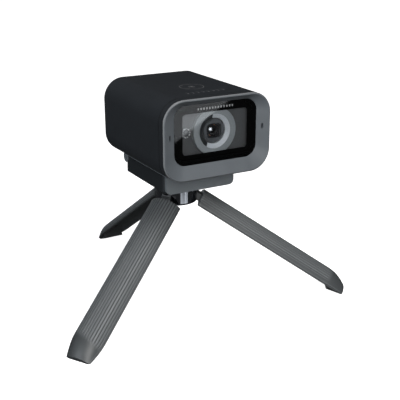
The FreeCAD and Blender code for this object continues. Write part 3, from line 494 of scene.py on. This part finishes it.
def leg_stations():
    """Stations down the leg: its eased end, its plain length and, close together, its nose."""
    first = [0.0, END_EASE, END_WALL]
    main = [10.0 * step for step in range(1, 10)]
    nose_steps, nose_span = 44, 19.0
    nose = [LEG_LONG - nose_span + nose_span * step / nose_steps for step in range(nose_steps + 1)]
    return first + main + nose


def leg_matrix(joint):
    """Takes a leg's own frame to the part's frame."""
    side = Vector(joint["axis"])
    outward = Vector((side.y, -side.x, 0.0))
    down = outward * math.cos(LEG_SLOPE) - Vector((0, 0, math.sin(LEG_SLOPE)))
    crown = outward * math.sin(LEG_SLOPE) + Vector((0, 0, math.cos(LEG_SLOPE)))
    turn = Matrix((down, side, crown)).transposed().to_4x4()
    return Matrix.Translation(Vector(joint["pos_m"])) @ turn @ Matrix.Scale(MM, 4)


def leg_mesh():
    """Hollow bowed shell with grooves along its crown and a wall at its hinge end."""
    inner_steps = 40
    parts = [step / ARC_STEPS for step in range(ARC_STEPS + 1)]
    verts, faces = [], []
    depths, ridge_highlights = [], []
    rings = []
    for along in leg_stations():
        half, crown = section(along)
        pinch = END_EASE if along == 0.0 else 0.0
        outer = bow_points(half - pinch, crown - pinch, ARC_STEPS, along, rib_depth)
        inner = bow_points(half - LEG_SKIN, crown - LEG_SKIN, inner_steps, along)
        ring = outer + inner[::-1]
        rings.append(list(range(len(verts), len(verts) + len(ring))))
        verts.extend(ring)
        depths += [rib_depth(along, part) / RIB_DEEP for part in parts] + [0.0] * len(inner)
        ridge_highlights += [ridge_highlight(along, part) for part in parts] + [0.0] * len(inner)
    for ring, after in zip(rings, rings[1:]):
        count = len(ring)
        for a in range(count):
            b = (a + 1) % count
            faces.append((ring[a], ring[b], after[b], after[a]))
    for ring, turned in ((rings[0], False), (rings[-1], True)):
        faces.extend(end_cap(ring, inner_steps, turned))
    add_end_wall(verts, faces)
    mesh = bpy.data.meshes.new("leg_shell")
    mesh.from_pydata(verts, [], faces)
    # The groove depth and the ridge mask are stored on the mesh for the painted shade in the grooves
    # and the painted highlight on the ribs.
    for name, values in (("groove", depths), ("ridge_highlight", ridge_highlights)):
        values += [0.0] * (len(verts) - len(values))
        mesh.attributes.new(name, "FLOAT", "POINT").data.foreach_set("value", values)
    mesh.validate()
    mesh.update()
    return mesh


def end_cap(ring, inner_steps, turned):
    """Faces that close the channel's thickness at one end, fanned from inner to outer points."""
    outer, inner = ring[:ARC_STEPS + 1], ring[ARC_STEPS + 1:][::-1]
    share = ARC_STEPS / inner_steps
    faces = []
    for step in range(inner_steps):
        span = outer[round(step * share):round((step + 1) * share) + 1]
        face = [inner[step]] + span + [inner[step + 1]]
        faces.append(tuple(face) if turned else tuple(face[::-1]))
    return faces


def add_end_wall(verts, faces):
    """The wall at the hinge end, in two halves beside the lug's doorway and a bridge over it."""
    half, crown = LEG_HALF - LEG_SKIN, LEG_CROWN - LEG_SKIN
    radius = bow(half, crown)[0]
    door = DOOR_WIDE / 2

    def roof(y):
        return crown - radius + math.sqrt(radius * radius - y * y)

    outlines = []
    for side in (-1, 1):
        curve = [side * (door + (half - door) * step / 12) for step in range(13)]
        outlines.append([(y, roof(y) if abs(y) < half else 0.0) for y in curve] + [(side * door, 0.0)])
    bridge = [door * (step / 6 - 1) for step in range(13)]
    outlines.append([(y, roof(y)) for y in bridge] + [(door, DOOR_HIGH), (-door, DOOR_HIGH)])
    for outline in outlines:
        start = len(verts)
        count = len(outline)
        for along in (WALL_IN, END_WALL):
            verts.extend((LEG_START + along, y, z - LEG_DROP) for y, z in outline)
        faces.append(tuple(range(start, start + count)))
        faces.append(tuple(range(start + 2 * count - 1, start + count - 1, -1)))
        for a in range(count):
            b = (a + 1) % count
            faces.append((start + a, start + count + a, start + count + b, start + b))


def ribbed_legs(material):
    """Puts a ribbed shell over each leg's smooth one, in its place and on its body."""
    mesh = leg_mesh()
    for side in ("left", "right", "back"):
        shape = mesh.copy()
        shape.transform(leg_matrix(JOINTS[side + "_leg_fold"]))
        piece = bpy.data.objects.new("ribbed_leg_" + side, shape)
        bpy.context.scene.collection.objects.link(piece)
        shape.materials.append(material)
        shape.polygons.foreach_set("use_smooth", [True] * len(shape.polygons))
        shape.set_sharp_from_angle(angle=math.radians(50))
        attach(piece, "leg_" + side)
        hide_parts("leg_shell_" + side)


# ---------------------------------------------------------------- studio

def view_axes():
    """The viewer's right, up and backward directions."""
    turn, rise = math.radians(VIEW_AZIMUTH), math.radians(VIEW_ELEVATION)
    back = Vector((math.sin(turn) * math.cos(rise), -math.cos(turn) * math.cos(rise),
                   math.sin(rise)))
    right = Vector((math.cos(turn), math.sin(turn), 0.0))
    return right, back.cross(right), back


def make_camera():
    right, up, back = view_axes()
    lens = bpy.data.cameras.new("view")
    lens.lens = VIEW_LENS
    lens.sensor_width = 36.0
    lens.clip_start, lens.clip_end = 0.01, 50.0
    camera = bpy.data.objects.new("view", lens)
    bpy.context.scene.collection.objects.link(camera)
    place = VIEW_MIDDLE + right * VIEW_RIGHT + up * VIEW_UP + back * VIEW_DISTANCE
    turn = Matrix((right, up, back)).transposed().to_4x4()
    camera.matrix_world = Matrix.Translation(place) @ turn
    bpy.context.scene.camera = camera


LIGHT_AIM = Vector((0.0, -0.02, 0.08))
LIGHT_SIZE = 0.6


def area_light(name, place, power, colour):
    """A square soft light, turned to the object."""
    data = bpy.data.lights.new(name, "AREA")
    data.shape = "SQUARE"
    data.size = LIGHT_SIZE
    data.energy = power
    data.color = colour
    lamp = bpy.data.objects.new(name, data)
    bpy.context.scene.collection.objects.link(lamp)
    lamp.location = place
    lamp.rotation_euler = (LIGHT_AIM - Vector(place)).to_track_quat("-Z", "Y").to_euler()


def panel(n, ray, middle, size, soft):
    """A soft-edged bright rectangle in the studio's surroundings, seen along a direction."""
    forward = Vector(middle).normalized()
    side = forward.cross(Vector((0, 0, 1))).normalized()
    up = side.cross(forward)
    ahead = n.math("MAXIMUM", n.dot(ray, tuple(forward)), 0.01)
    mask = n.step(ahead, 0.02, 0.1)
    for axis, reach in zip((side, up), size):
        offset = n.math("ABSOLUTE", n.math("DIVIDE", n.dot(ray, tuple(axis)), ahead))
        mask = n.both(mask, n.step(offset, reach + soft, reach - soft))
    return mask


def half_disc(n, ray):
    """A large bright panel with one straight edge, which the window mirrors as a diagonal glare."""
    edge = n.step(n.dot(ray, (-0.4393, -0.4632, 0.7697)), -0.002, 0.002)
    return n.both(edge, n.step(n.dot(ray, (0.490, -0.838, -0.241)), 0.975, 0.985))


def small_lamp(n, ray):
    """A tiny lamp, which makes the glint over the lens."""
    inner, outer = math.radians(0.04), math.radians(0.14)
    towards = Vector((0.4885, -0.838, -0.2435)).normalized()
    return n.step(n.dot(ray, tuple(towards)), math.cos(outer), math.cos(inner))


def make_world():
    """White surroundings for the eye; for the object, a dim room with a few bright panels."""
    world = bpy.data.worlds.new("studio")
    bpy.context.scene.world = world
    world.use_nodes = True
    n = Nodes(world.node_tree)
    out = n.add("ShaderNodeOutputWorld")
    ray = n.add("ShaderNodeTexCoord").outputs["Generated"]
    hub_strip = panel(n, ray, (0.225, -0.90, -0.43), (0.36, 0.105), 0.015)
    level = 0.04
    for shape, strength in ((half_disc(n, ray), 1.8), (hub_strip, 1.3), (small_lamp(n, ray), 7.0)):
        level = n.math("ADD", level, n.math("MULTIPLY", shape, strength))
    room = n.add("ShaderNodeBackground")
    room.inputs["Color"].default_value = rgb(0.92, 0.96, 1.0)
    n.feed(room.inputs["Strength"], level)
    plain = n.add("ShaderNodeBackground")
    plain.inputs["Color"].default_value = rgb(1.0, 1.0, 1.0)
    mixed = n.add("ShaderNodeMixShader")
    n.feed(mixed.inputs["Fac"], n.add("ShaderNodeLightPath").outputs["Is Camera Ray"])
    n.feed(mixed.inputs[1], room.outputs[0])
    n.feed(mixed.inputs[2], plain.outputs[0])
    n.feed(out.inputs["Surface"], mixed.outputs[0])


def make_floor():
    """Plain white floor, which lights itself so that its far edge fades into the background."""
    mesh = bpy.data.meshes.new("floor")
    reach = 6.0
    corners = [(-reach, -reach, 0), (reach, -reach, 0), (reach, reach, 0), (-reach, reach, 0)]
    mesh.from_pydata(corners, [], [(0, 1, 2, 3)])
    floor = bpy.data.objects.new("floor", mesh)
    bpy.context.scene.collection.objects.link(floor)
    material = bpy.data.materials.new("floor_white")
    material.use_nodes = True
    n = Nodes(material.node_tree)
    out = n.add("ShaderNodeOutputMaterial")
    matt = n.add("ShaderNodeBsdfDiffuse")
    matt.inputs["Color"].default_value = rgb(0.92, 0.92, 0.92)
    glow = n.add("ShaderNodeEmission")
    glow.inputs["Strength"].default_value = 1.0
    both = n.add("ShaderNodeAddShader")
    n.feed(both.inputs[0], matt.outputs[0])
    n.feed(both.inputs[1], glow.outputs[0])
    n.feed(out.inputs["Surface"], both.outputs[0])
    mesh.materials.append(material)
    floor.visible_glossy = False
    floor.visible_diffuse = False


def make_studio():
    make_camera()
    make_world()
    make_floor()
    area_light("key", (-0.45, -1.1, 0.45), 9.5, (1.0, 0.99, 0.97))
    area_light("crown", (0.05, -0.75, 0.95), 9.0, (1.0, 0.99, 0.98))
    area_light("left_fill", (-1.1, -0.3, 0.25), 4.5, (0.88, 0.94, 1.0))
    area_light("back_rim", (0.1, 1.2, 0.12), 0.7, (0.9, 0.95, 1.0))
    settings = bpy.context.scene.view_settings
    settings.view_transform = "Standard"
    settings.look = "None"


# ---------------------------------------------------------------- build

make_studio()
finishes = make_materials()
dress_nodes(finishes)
ribbed_legs(finishes["leg"])
